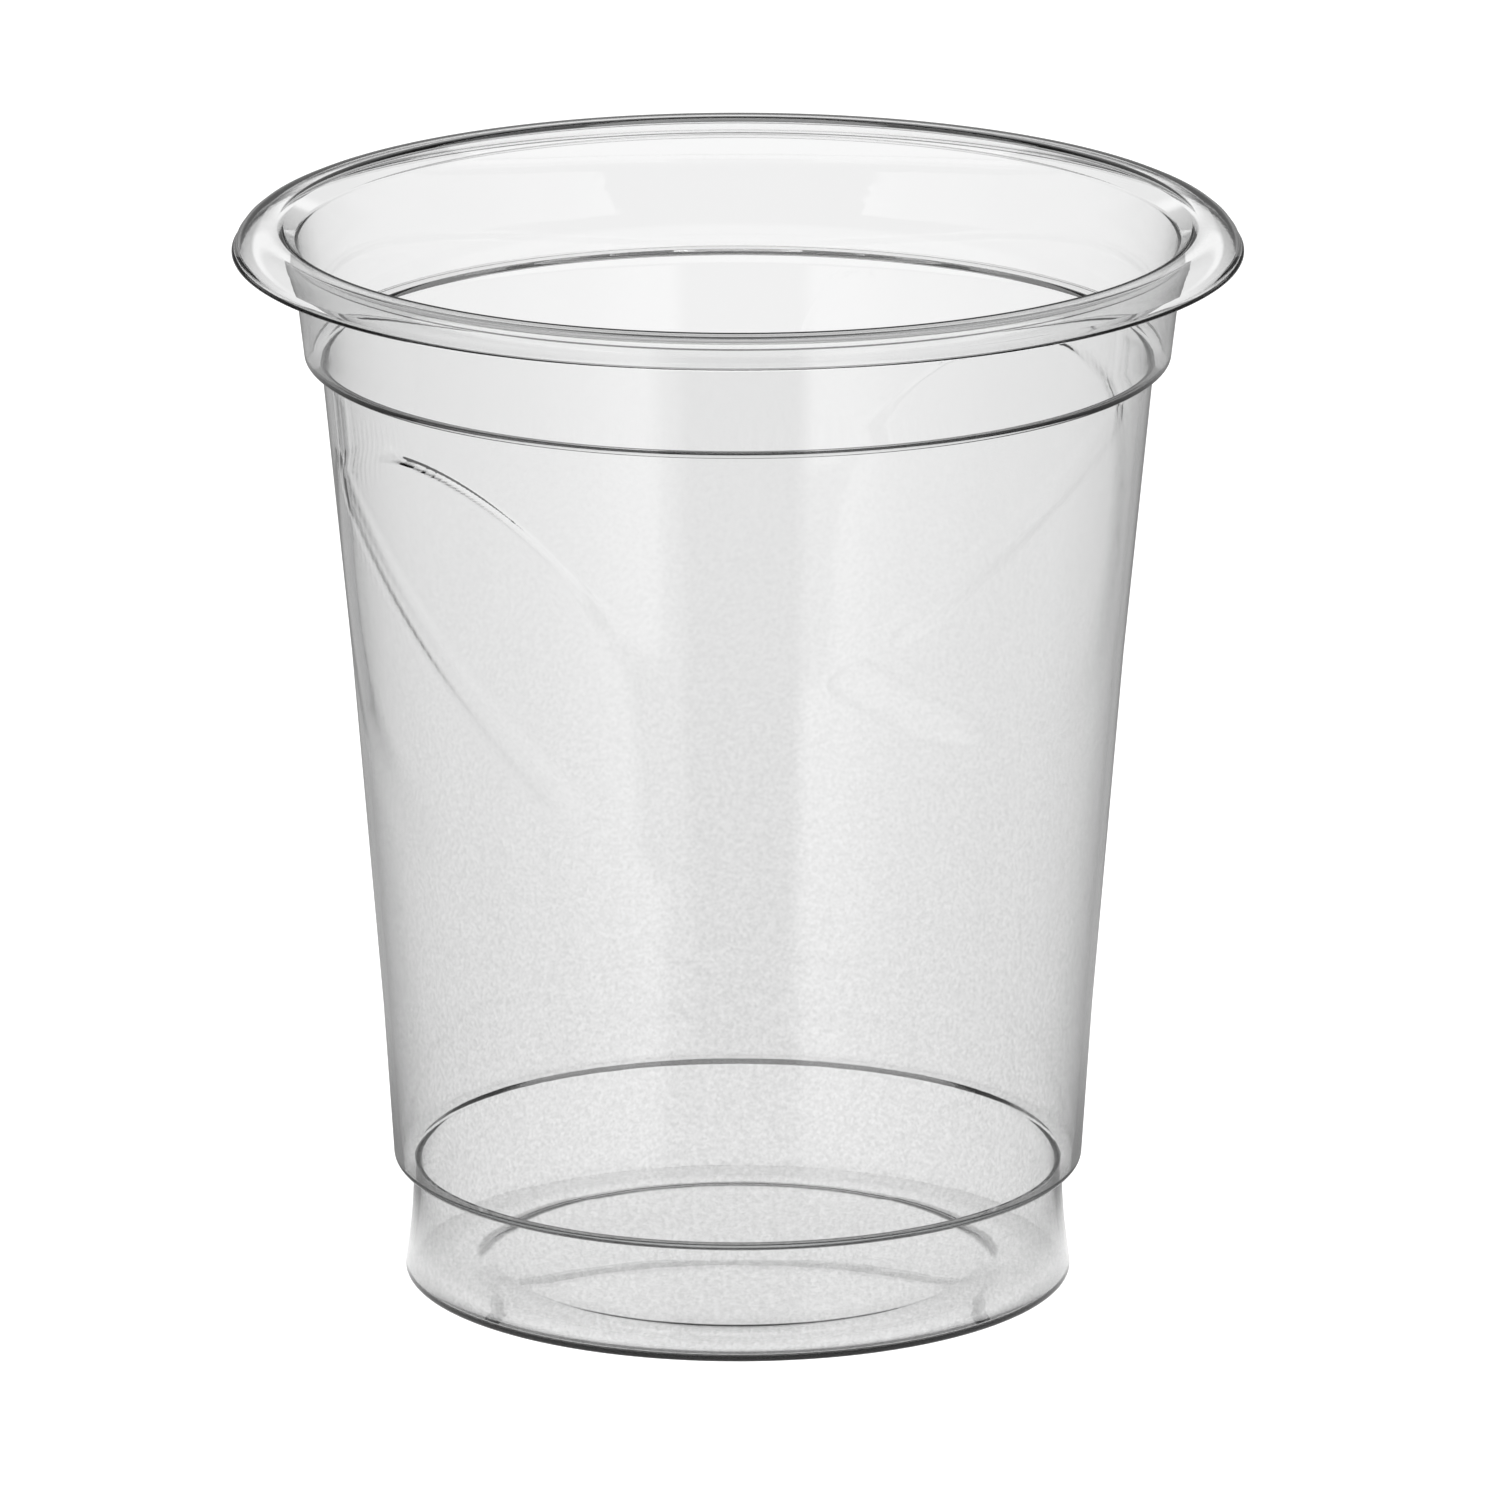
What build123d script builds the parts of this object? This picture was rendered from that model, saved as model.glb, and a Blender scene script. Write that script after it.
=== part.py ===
from build123d import *
import os

# Clear plastic shot glass, one moulded sheet. The origin is the centre of the base on the table.
# Radii and heights are those of the sheet's outer face. It is turned from its section.
wall = 0.35
rim_height = 52.83

# Body in two tapers, the upper one wider.
body_bottom_radius = 17.0
body_break_radius = 18.1
body_top_radius = 20.4
body_break_height = 22.8

# Foot, set in under the body. It flares towards the table, and the panel inside it stands clear.
foot_height = 5.7
shelf_width = 0.95
shelf_rise = 0.15
flare_height = 3.4
flare_width = 0.45
foot_corner = 0.4
standing_width = 3.3
panel_height = 0.25
panel_draft = 0.3

# Stacking ring and neck.
neck_height = 6.28
ring_width = 0.8
ring_rise = 0.1
neck_flare = 0.65

# Lip, a level flange that the neck leans out to, with its edge turned down.
throat_width = 0.6
throat_rise = 0.6
flange_width = 1.65
edge_width = 0.4
edge_drop = 1.08

# Leaf in relief, once on each side of the body. It lies askew and hangs from the ring by its stem.
leaf_count = 2
leaf_bearing = -46.0
leaf_slope = -42.5
leaf_drop = 12.55
leaf_length = 24.5
leaf_width = 18.6
leaf_raise = 0.3
rib_width = 0.9
rib_raise = 0.15
rib_gap = 3.5
stem_bend = 2.5

ring_height = rim_height - neck_height


def body_points(out=0):
    """Corners of the body's outer face, from the shelf to the ring, moved out by a distance."""
    return [
        Vector(body_bottom_radius + out, foot_height + shelf_rise),
        Vector(body_break_radius + out, body_break_height),
        Vector(body_top_radius + out, ring_height),
    ]


def foot_points():
    """Corners of the foot's outer face, from the middle of the base panel to the waist."""
    waist_radius = body_bottom_radius - shelf_width
    foot_radius = waist_radius + flare_width
    panel_edge = foot_radius - foot_corner - standing_width
    return [
        Vector(0, panel_height),
        Vector(panel_edge - panel_draft, panel_height),
        Vector(panel_edge, 0),
        Vector(foot_radius - foot_corner, 0),
        Vector(foot_radius, foot_corner),
        Vector(waist_radius, flare_height),
        Vector(waist_radius, foot_height),
    ]


def lip_points():
    """Corners of the sheet's outer face from the stacking ring to the turned-down edge."""
    ring_radius = body_top_radius + ring_width
    neck_radius = ring_radius + neck_flare
    throat_radius = neck_radius + throat_width
    flange_radius = throat_radius + flange_width
    return [
        Vector(ring_radius, ring_height + ring_rise),
        Vector(neck_radius, rim_height - throat_rise),
        Vector(throat_radius, rim_height),
        Vector(flange_radius, rim_height),
        Vector(flange_radius + edge_width, rim_height - edge_drop),
    ]


def inner_side(outer):
    """Corners a wall inside an open line, on its left."""
    sides = [(end - start).normalized().rotate(Axis.Z, 90) for start, end in zip(outer, outer[1:])]
    mitres = [(a + b) / (1 + a.dot(b)) for a, b in zip(sides, sides[1:])]
    return [point + move * wall for point, move in zip(outer, [sides[0], *mitres, sides[-1]])]


def turned(side, other_side):
    """Ring whose half section lies between two lines that run the same way."""
    outline = Polyline(*side, *reversed(other_side), close=True)
    return revolve(Plane.XZ * make_face(outline), Axis.Z)


def body_band(inside, outside):
    """Band round the body between two distances from its outer face."""
    return turned(body_points(inside), body_points(outside))


def through_wall(outline):
    """Straight cutter from the axis out through the wall, at the leaf's place and slope."""
    cutter = extrude(Plane.XZ * Rot(Z=leaf_slope) * outline, body_top_radius + leaf_length)
    return Rot(Z=leaf_bearing) * Pos(Z=ring_height - leaf_drop) * cutter


def leaf_outlines():
    """Blade, the hollow behind it, and the rib that runs on as the stem."""
    stem_end = Vector(-leaf_length / 2, 0)
    tip = Vector(leaf_length / 2, 0)
    bulge = Vector(0, leaf_width / 2)
    blade = make_face([ThreePointArc(stem_end, bulge, tip), ThreePointArc(tip, -bulge, stem_end)])
    hollow = offset(blade, -wall, kind=Kind.INTERSECTION)
    stem_length = leaf_drop - stem_end.rotate(Axis.Z, leaf_slope).Y
    stem_top = stem_end + Vector(0, stem_length).rotate(Axis.Z, -leaf_slope)
    rib_end = tip - Vector(rib_gap, 0)
    rib = trace(FilletPolyline(stem_top, stem_end, rib_end, radius=stem_bend), rib_width)
    return blade, hollow, rib


outer_face = foot_points() + body_points() + lip_points()
shot_glass = turned(outer_face, inner_side(outer_face))

blade, hollow, rib = leaf_outlines()
raised = through_wall(blade) & body_band(-wall / 2, leaf_raise)
ribbed = through_wall(rib) & body_band(-wall / 2, leaf_raise + rib_raise)
recess = through_wall(hollow) & body_band(-wall - leaf_raise, leaf_raise - wall)
for number in range(leaf_count):
    turn = Rot(Z=360 * number / leaf_count)
    shot_glass = shot_glass + turn * raised + turn * ribbed - turn * recess

os.makedirs("parts", exist_ok=True)
export_step(shot_glass, "parts/shot_glass.step")
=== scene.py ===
import math

import bpy
from mathutils import Matrix, Vector


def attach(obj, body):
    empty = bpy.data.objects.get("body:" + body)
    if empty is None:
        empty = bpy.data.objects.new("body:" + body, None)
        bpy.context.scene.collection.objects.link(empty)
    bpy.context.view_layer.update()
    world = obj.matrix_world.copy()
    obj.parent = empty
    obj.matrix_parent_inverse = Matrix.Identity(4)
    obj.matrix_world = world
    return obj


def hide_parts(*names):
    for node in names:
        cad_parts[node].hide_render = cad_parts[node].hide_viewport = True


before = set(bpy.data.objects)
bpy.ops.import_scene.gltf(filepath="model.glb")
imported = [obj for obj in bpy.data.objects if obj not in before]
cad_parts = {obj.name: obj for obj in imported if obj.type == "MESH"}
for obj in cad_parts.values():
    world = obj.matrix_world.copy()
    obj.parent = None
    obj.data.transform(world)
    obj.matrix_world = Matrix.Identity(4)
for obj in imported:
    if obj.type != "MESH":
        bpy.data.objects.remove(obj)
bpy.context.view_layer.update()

# The cup is one sheet of clear plastic, drawn down into a mould. Its side view runs from the raised
# base panel over the standing ring, the flared foot, the shelf and the two tapers of the body to the
# stacking ring, the neck and the level lip with its turned-down edge. The forming rounds every bend.
mm = 0.001
side_view = [  # radius and height of each corner, and the reach of its bend, in mm
    (12.20, 0.25, 0.35),  # edge of the base panel
    (13.00, 0.00, 0.35),  # inside of the standing ring
    (16.50, 0.00, 0.28),  # outside of the standing ring
    (16.05, 3.40, 1.60),  # top of the flare
    (16.05, 5.70, 0.05),  # under the shelf
    (17.00, 5.85, 0.25),  # edge of the shelf
    (18.10, 22.80, 9.00),  # between the two tapers
    (20.40, 46.55, 0.06),  # under the stacking ring
    (21.20, 46.65, 0.08),  # edge of the stacking ring
    (21.85, 52.23, 0.04),  # top of the neck
    (22.45, 52.83, 0.10),  # inside of the lip
    (24.10, 52.83, 0.90),  # outside of the lip
]
lip_edge = (24.33, 51.75)
bend_segments = 5
turn_steps = 240
same_place = 0.01 * mm

bpy.ops.object.select_all(action="DESELECT")
bpy.ops.mesh.primitive_plane_add(size=mm, location=(0, 0, 0))
cup = bpy.context.object
cup.name = "shot_glass_sheet"
bpy.ops.object.mode_set(mode="EDIT")
bpy.ops.mesh.select_mode(type="VERT")
bpy.ops.mesh.select_all(action="SELECT")
bpy.ops.mesh.merge(type="CENTER")
place = Vector((0, 0, side_view[0][1] * mm))
bpy.ops.transform.translate(value=place)
for radius, height in [corner[:2] for corner in side_view] + [lip_edge]:
    step = Vector((radius * mm, 0, height * mm)) - place
    bpy.ops.mesh.extrude_region_move(TRANSFORM_OT_translate={"value": step})
    place = place + step


def pick(parts, wanted):
    """Selects, in edit mode, the vertices, edges or faces of the cup that are wanted."""
    bpy.ops.mesh.select_all(action="DESELECT")
    bpy.ops.object.mode_set(mode="OBJECT")
    chosen = [part for part in getattr(cup.data, parts) if wanted(part)]
    for part in chosen:
        part.select = True
    bpy.ops.object.mode_set(mode="EDIT")
    return len(chosen)


for radius, height, reach in side_view:
    corner = Vector((radius * mm, 0, height * mm))
    pick("vertices", lambda vertex: (vertex.co - corner).length < same_place)
    bpy.ops.mesh.bevel(
        offset=reach * mm,
        offset_type="OFFSET",
        segments=bend_segments,
        affect="VERTICES",
        clamp_overlap=False,
    )

# The long runs of the side view are divided before it is turned, finely where the leaves stand.
leaf_rows = (23.0 * mm, 46.4 * mm)
fine_row = 0.6 * mm
coarse_row = 2.2 * mm


def in_leaf_rows(height):
    """True for a height at which the leaves stand."""
    return leaf_rows[0] < height < leaf_rows[1]


def too_long(edge):
    """True for an edge of the side view that is longer than the rows wanted there."""
    start, end = (cup.data.vertices[index].co for index in edge.vertices)
    row = fine_row if in_leaf_rows((start.z + end.z) / 2) else coarse_row
    return (end - start).length > row


bpy.ops.mesh.select_mode(type="EDGE")
while pick("edges", too_long):
    bpy.ops.mesh.subdivide(number_cuts=1)

# The side view is turned once round, and its seam and the middle of the base are closed.
seam_gap = 0.002 * mm
below_lip = 40 * mm
bpy.ops.mesh.select_mode(type="VERT")
bpy.ops.mesh.select_all(action="SELECT")
bpy.ops.mesh.spin(steps=turn_steps, angle=math.tau, center=(0, 0, 0), axis=(0, 0, 1))
bpy.ops.mesh.select_all(action="SELECT")
bpy.ops.mesh.remove_doubles(threshold=seam_gap)
bpy.ops.mesh.normals_make_consistent(inside=False)
bpy.ops.object.mode_set(mode="OBJECT")
body_faces = [face for face in cup.data.polygons if face.center.z < below_lip]
widest = max(body_faces, key=lambda face: face.center.to_2d().length)
faces_in = widest.normal.dot(widest.center) < 0
bpy.ops.object.mode_set(mode="EDIT")
if faces_in:
    bpy.ops.mesh.flip_normals()

# A leaf stands out of the sheet on each side of the body, pressed in by the mould. Its blade is two
# arcs, crisp along the upper one and fading into the wall below and at the tip. Its rib is a soft ridge
# that rises along the blade, and it runs on as a low stem up to the stacking ring.
leaf_bearings = (-46.0, 134.0)
leaf_slope = math.radians(-42.5)
leaf_height = 34.0 * mm
leaf_length = 24.5 * mm
leaf_width = 18.6 * mm
blade_raise = 0.28 * mm
crisp_edge = 0.22 * mm
soft_edge = 4.0 * mm
tip_fade = 10 * mm
under_rib_fade = 2 * mm
stem_side = -8.5 * mm
stem_side_fade = 2 * mm
stem_side_share = 0.3
rib_half = 0.65 * mm
rib_flank = 0.80 * mm
rib_raise = 0.20 * mm
rib_climb = 14 * mm
rib_gap = 2.0 * mm
rib_fade = 3.0 * mm
stem_raise = 0.04 * mm
stem_length = 6 * mm
stem_fade = 0.9 * mm
arc_radius = ((leaf_length / 2) ** 2 + (leaf_width / 2) ** 2) / leaf_width
arc_offset = arc_radius - leaf_width / 2
stem_end = Vector((-leaf_length / 2, 0))
rib_end = Vector((leaf_length / 2 - rib_gap, 0))
stem_way = Vector((math.sin(leaf_slope), math.cos(leaf_slope)))
stem_top = stem_end + stem_way * stem_length


def eased(share):
    """Soft step from 0 to 1."""
    share = min(max(share, 0), 1)
    return share * share * (3 - 2 * share)


def leaf_place(co, bearing):
    """Place of a point of the wall on the leaf, along and across its rib, or None behind the axis."""
    turned = Matrix.Rotation(-math.radians(bearing), 3, "Z") @ co
    if turned.y > 0:
        return None
    flat = Vector((turned.x, turned.z - leaf_height))
    along = flat.x * math.cos(leaf_slope) + flat.y * math.sin(leaf_slope)
    across = flat.y * math.cos(leaf_slope) - flat.x * math.sin(leaf_slope)
    return Vector((along, across))


def places_on_leaves(co):
    """Places of a point of the wall on the leaves that stand on its side of the cup."""
    places = [leaf_place(co, bearing) for bearing in leaf_bearings]
    return [point for point in places if point is not None]


def blade_edge(point):
    """How far a point lies inside the blade, and how soft the blade's edge is beside it."""
    centre = Vector((0, -math.copysign(arc_offset, point.y)))
    inside = arc_radius - (point - centre).length
    to_tip = eased(point.x / tip_fade)
    below_rib = eased(0.5 - point.y / under_rib_fade)
    to_stem = stem_side_share * eased((stem_side - point.x) / stem_side_fade)
    return inside, crisp_edge + (soft_edge - crisp_edge) * max(to_tip, below_rib, to_stem)


def distance_to_run(point, start, end):
    """Distance of a flat point from a straight run."""
    run = end - start
    share = min(max((point - start).dot(run) / run.length_squared, 0), 1)
    return (point - start - run * share).length


def rib_distance(point):
    """Distance from the middle of the rib or the stem."""
    return min(distance_to_run(point, stem_top, stem_end), distance_to_run(point, stem_end, rib_end))


def relief_height(co, softer):
    """How far a face of the wall stands out at a point, with its edges drawn softer by a distance."""
    for point in places_on_leaves(co):
        inside, softness = blade_edge(point)
        blade = eased(inside / (softness + softer) + 0.5)
        ridge = eased((rib_half - rib_distance(point)) / (rib_flank + softer) + 0.5)
        ridge = ridge * eased((rib_end.x - point.x) / rib_fade)
        climb = eased((point.x - stem_end.x) / rib_climb) * blade
        height = blade_raise * blade + ridge * (stem_raise + (rib_raise - stem_raise) * climb)
        return height * eased((leaf_rows[1] - co.z) / stem_fade)
    return 0


# The sheet is divided more finely along the ribs and along the crisp edges of the blades.
rib_cuts = 2
edge_cuts = 4
edge_margin = 0.2 * mm
crisp_limit = 1.6 * mm


def on_rib(face):
    """True for a face of the body that a rib or a stem crosses."""
    near = any(rib_distance(point) < rib_half + rib_flank for point in places_on_leaves(face.center))
    return near and in_leaf_rows(face.center.z)


def on_crisp_edge(face):
    """True for a face of the body that the crisp edge of a blade crosses."""
    edges = [blade_edge(point) for point in places_on_leaves(face.center)]
    near = any(abs(inside) < soft + edge_margin and soft < crisp_limit for inside, soft in edges)
    return near and in_leaf_rows(face.center.z)


bpy.ops.mesh.select_mode(type="FACE")
pick("polygons", on_rib)
bpy.ops.mesh.subdivide(number_cuts=rib_cuts)
pick("polygons", lambda face: on_crisp_edge(face) and not on_rib(face))
bpy.ops.mesh.subdivide(number_cuts=edge_cuts)
bpy.ops.object.mode_set(mode="OBJECT")

# The sheet gets its wall, a little thicker at the cut edge of the lip. The leaves are pressed into both
# of its faces, the outer one against the mould and the inner one softer. The cut edge is rounded.
sheet_wall = 0.35 * mm
edge_wall = 0.53 * mm
edge_start = 24.3 * mm
back_softness = 0.28 * mm
raised = [
    relief_height(vertex.co, softer) * in_leaf_rows(vertex.co.z)
    for softer in (0, back_softness)
    for vertex in cup.data.vertices
]
at_edge = [vertex.index for vertex in cup.data.vertices if vertex.co.to_2d().length > edge_start]
thickness = cup.vertex_groups.new(name="wall_thickness")
thickness.add(list(range(len(cup.data.vertices))), sheet_wall / edge_wall, "REPLACE")
thickness.add(at_edge, 1, "REPLACE")
wall = cup.modifiers.new("wall", "SOLIDIFY")
wall.vertex_group = thickness.name
wall.thickness = edge_wall
wall.offset = -1
wall.use_even_offset = True
wall.use_quality_normals = True
bpy.ops.object.modifier_apply(modifier=wall.name)
for vertex in cup.data.vertices:
    outward = vertex.co.to_2d().normalized().to_3d()
    vertex.co += outward * raised[vertex.index]

cut_ring_radius = 24.25 * mm
cut_ring_height = 51.95 * mm
level_within = 0.001 * mm
edge_round = 0.24 * mm
edge_segments = 6
smooth_below = math.radians(50)


def on_cut_edge(edge):
    """True for the two rings where the sheet is cut off at the lip."""
    ends = [cup.data.vertices[index].co for index in edge.vertices]
    level = abs(ends[0].z - ends[1].z) < level_within
    return level and all(co.to_2d().length > cut_ring_radius and co.z < cut_ring_height for co in ends)


bpy.ops.object.mode_set(mode="EDIT")
bpy.ops.mesh.select_mode(type="EDGE")
pick("edges", on_cut_edge)
bpy.ops.mesh.bevel(offset=edge_round, segments=edge_segments, affect="EDGES")
bpy.ops.object.mode_set(mode="OBJECT")
bpy.ops.object.shade_smooth_by_angle(angle=smooth_below)

# The plastic is clear and glossy and faintly grey in its thickness, with small patches of haze. Further
# down, where it was drawn thin, it has fine specks. Lamps shine through it onto the table.
plastic = bpy.data.materials.new("clear_plastic")
plastic.use_nodes = True
nodes = plastic.node_tree.nodes
links = plastic.node_tree.links
shader = nodes["Principled BSDF"]
shader.inputs["Transmission Weight"].default_value = 1
shader.inputs["IOR"].default_value = 1.5
place_on_cup = nodes.new("ShaderNodeTexCoord")
apart = nodes.new("ShaderNodeSeparateXYZ")
links.new(place_on_cup.outputs["Object"], apart.inputs[0])


def set_greys(ramp, stops):
    """Sets a new colour ramp to grey levels at their places, from the first to the last."""
    first, *between, last = stops
    for stop, (spot, level) in zip(ramp.elements, (first, last)):
        stop.position = spot
        stop.color = (level, level, level, 1)
    for spot, level in between:
        ramp.elements.new(spot).color = (level, level, level, 1)


grain = nodes.new("ShaderNodeTexNoise")
grain.inputs["Scale"].default_value = 4200
grain.inputs["Detail"].default_value = 2
links.new(place_on_cup.outputs["Object"], grain.inputs["Vector"])
specks = nodes.new("ShaderNodeValToRGB")
set_greys(specks.color_ramp, [(0.42, 0.90), (0.56, 1)])
links.new(grain.outputs["Fac"], specks.inputs["Fac"])
drawn = nodes.new("ShaderNodeMapRange")
drawn.inputs["From Min"].default_value = 44 * mm
drawn.inputs["From Max"].default_value = 8 * mm
links.new(apart.outputs["Z"], drawn.inputs["Value"])
speckled = nodes.new("ShaderNodeMix")
speckled.data_type = "RGBA"
speckled.blend_type = "MULTIPLY"
speckled.inputs["A"].default_value = (0.98, 0.98, 0.98, 1)
links.new(drawn.outputs["Result"], speckled.inputs["Factor"])
links.new(specks.outputs["Color"], speckled.inputs["B"])
links.new(speckled.outputs["Result"], shader.inputs["Base Color"])

clouds = nodes.new("ShaderNodeTexNoise")
clouds.inputs["Scale"].default_value = 260
clouds.inputs["Detail"].default_value = 3
links.new(place_on_cup.outputs["Object"], clouds.inputs["Vector"])
haze = nodes.new("ShaderNodeMapRange")
haze.inputs["From Min"].default_value = 0.56
haze.inputs["From Max"].default_value = 0.75
haze.inputs["To Min"].default_value = 0
haze.inputs["To Max"].default_value = 0.05
links.new(clouds.outputs["Fac"], haze.inputs["Value"])
links.new(haze.outputs["Result"], shader.inputs["Roughness"])
ripple = nodes.new("ShaderNodeBump")
ripple.inputs["Strength"].default_value = 0.15
ripple.inputs["Distance"].default_value = 0.02 * mm
links.new(clouds.outputs["Fac"], ripple.inputs["Height"])
links.new(ripple.outputs["Normal"], shader.inputs["Normal"])

tint = nodes.new("ShaderNodeVolumeAbsorption")
tint.inputs["Color"].default_value = (0.5, 0.51, 0.51, 1)
tint.inputs["Density"].default_value = 230
links.new(tint.outputs["Volume"], nodes["Material Output"].inputs["Volume"])
light_path = nodes.new("ShaderNodeLightPath")
let_through = nodes.new("ShaderNodeBsdfTransparent")
for_lamps = nodes.new("ShaderNodeMixShader")
links.new(light_path.outputs["Is Shadow Ray"], for_lamps.inputs["Fac"])
links.new(shader.outputs["BSDF"], for_lamps.inputs[1])
links.new(let_through.outputs["BSDF"], for_lamps.inputs[2])
links.new(for_lamps.outputs["Shader"], nodes["Material Output"].inputs["Surface"])
cup.data.materials.append(plastic)
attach(cup, "root")
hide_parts("shot_glass")

# The table is a wide sheet of matt white card, laid flat, that the cup stands on. The camera sees it
# white, also straight through the plastic. What the plastic mirrors of it is painted on in soft strips
# of light and shade round the cup, and bright by the foot.
table_size = 6
table_drop = 0.03 * mm
bpy.ops.object.select_all(action="DESELECT")
bpy.ops.mesh.primitive_plane_add(size=table_size, location=(0, 0, -table_drop))
table = bpy.context.object
table.name = "table"
white = bpy.data.materials.new("white_table")
white.use_nodes = True
nodes = white.node_tree.nodes
links = white.node_tree.links
card = nodes["Principled BSDF"]
card.inputs["Base Color"].default_value = (0.6, 0.6, 0.6, 1)
card.inputs["Roughness"].default_value = 0.9
card.inputs["Specular IOR Level"].default_value = 0
card.inputs["Emission Color"].default_value = (1, 1, 1, 1)
card.inputs["Emission Strength"].default_value = 0.70
seen = nodes.new("ShaderNodeLightPath")
where = nodes.new("ShaderNodeTexCoord")
apart = nodes.new("ShaderNodeSeparateXYZ")
links.new(where.outputs["Object"], apart.inputs[0])


def add_math(operation, first, second=None):
    """Adds a calculation to the material or room in hand, on a socket and a second socket or number."""
    node = nodes.new("ShaderNodeMath")
    node.operation = operation
    links.new(first, node.inputs[0])
    if isinstance(second, bpy.types.NodeSocket):
        links.new(second, node.inputs[1])
    elif second is not None:
        node.inputs[1].default_value = second
    return node.outputs[0]


def add_soft_range(value, start, end, low=0, high=1):
    """Adds a soft step to the material or room in hand, from one level at the start to one at the end."""
    node = nodes.new("ShaderNodeMapRange")
    node.interpolation_type = "SMOOTHSTEP"
    node.inputs["From Min"].default_value = start
    node.inputs["From Max"].default_value = end
    node.inputs["To Min"].default_value = low
    node.inputs["To Max"].default_value = high
    links.new(value, node.inputs["Value"])
    return node.outputs["Result"]


strip_turn = 0.027
strip_levels = [  # share of the half turn from the front to the back, and the level there
    (0.0, 0.2),
    (0.085, 0.2),
    (0.12, 1.0),
    (0.15, 1.0),
    (0.30, 0.55),
    (0.42, 0.35),
    (0.6, 0.4),
    (0.85, 0.5),
    (0.93, 0.3),
    (1.0, 0.3),
]
forward = add_math("MULTIPLY", apart.outputs["Y"], -1)
bearing = add_math("ARCTAN2", apart.outputs["X"], forward)
either_side = add_math("ABSOLUTE", add_math("ADD", bearing, strip_turn))
half_turns = add_math("DIVIDE", either_side, math.pi)
strips = nodes.new("ShaderNodeValToRGB")
strips.color_ramp.interpolation = "EASE"
set_greys(strips.color_ramp, strip_levels)
links.new(half_turns, strips.inputs["Fac"])

away = nodes.new("ShaderNodeVectorMath")
away.operation = "LENGTH"
links.new(where.outputs["Object"], away.inputs[0])
by_the_foot = add_soft_range(away.outputs["Value"], 17 * mm, 26 * mm, 1.0, 0.3)
clear_of_cup = add_soft_range(away.outputs["Value"], 26 * mm, 50 * mm)
shaded = nodes.new("ShaderNodeMix")
shaded.data_type = "RGBA"
links.new(clear_of_cup, shaded.inputs["Factor"])
links.new(by_the_foot, shaded.inputs["A"])
links.new(strips.outputs["Color"], shaded.inputs["B"])
shown = nodes.new("ShaderNodeMix")
shown.data_type = "RGBA"
shown.inputs["A"].default_value = (1, 1, 1, 1)
links.new(add_math("GREATER_THAN", seen.outputs["Glossy Depth"], 0.5), shown.inputs["Factor"])
links.new(shaded.outputs["Result"], shown.inputs["B"])
glow = nodes.new("ShaderNodeEmission")
links.new(shown.outputs["Result"], glow.inputs["Color"])
choice = nodes.new("ShaderNodeMixShader")
links.new(seen.outputs["Is Camera Ray"], choice.inputs["Fac"])
links.new(glow.outputs["Emission"], choice.inputs[1])
links.new(card.outputs["BSDF"], choice.inputs[2])
links.new(choice.outputs["Shader"], nodes["Material Output"].inputs["Surface"])
table.data.materials.append(white)

# The studio is a dim room with one large soft lamp above the cup. Behind the cup a pale backdrop is lit
# in a band above the table, and a soft light fills the front. The camera sees the room white.
backdrop_levels = [  # height on a sphere round the cup, and the level there
    (0.21, 0.12),
    (0.245, 1.0),
    (0.285, 1.0),
    (0.33, 0.5),
    (0.6, 0.5),
    (0.72, 0.3),
    (1.0, 0.3),
]
front_levels = [(0.0, 0), (0.04, 1.0), (0.6, 1.0), (0.85, 0)]
lamp_height = 1.0
lamp_width = 1.6
lamp_power = 9
world = bpy.data.worlds.new("studio")
bpy.context.scene.world = world
world.use_nodes = True
nodes = world.node_tree.nodes
links = world.node_tree.links
nodes["Background"].inputs["Color"].default_value = (1, 1, 1, 1)
way = nodes.new("ShaderNodeTexCoord")
apart = nodes.new("ShaderNodeSeparateXYZ")
links.new(way.outputs["Generated"], apart.inputs[0])


def add_heights(levels):
    """Adds grey levels by height to the room."""
    heights = nodes.new("ShaderNodeValToRGB")
    set_greys(heights.color_ramp, levels)
    links.new(apart.outputs["Z"], heights.inputs["Fac"])
    return heights.outputs["Color"]


backdrop = add_soft_range(apart.outputs["Y"], 0.6, 0.85, 0.5, 1.0)
front = add_soft_range(apart.outputs["Y"], 0.1, -0.3)
backdrop_light = add_math("MULTIPLY", backdrop, add_heights(backdrop_levels))
front_light = add_math("MULTIPLY", front, add_heights(front_levels))
room_light = add_math("MAXIMUM", backdrop_light, front_light)
seen = nodes.new("ShaderNodeLightPath")
shown_light = add_math("MAXIMUM", room_light, seen.outputs["Is Camera Ray"])
links.new(shown_light, nodes["Background"].inputs["Strength"])
bpy.ops.object.light_add(type="AREA", location=(0, 0, lamp_height))
lamp = bpy.context.object
lamp.data.shape = "DISK"
lamp.data.size = lamp_width
lamp.data.energy = lamp_power

# The camera stands far off with a long lens and looks a little down on the cup. The lens is shifted, so
# that the cup sits in the picture where the photograph has it.
picture_width = 1500
aim = Vector((0, 0, 24.63 * mm))
down = math.radians(15.4)
distance = 866 * mm
bpy.ops.object.camera_add(location=aim + Vector((0, -math.cos(down), math.sin(down))) * distance)
camera = bpy.context.object
camera.rotation_euler = (math.pi / 2 - down, 0, 0)
camera.data.sensor_width = 36
camera.data.lens = 422
camera.data.shift_x = 12.15 / picture_width
camera.data.shift_y = 35.7 / picture_width
bpy.context.scene.camera = camera
bpy.context.scene.view_settings.view_transform = "Standard"
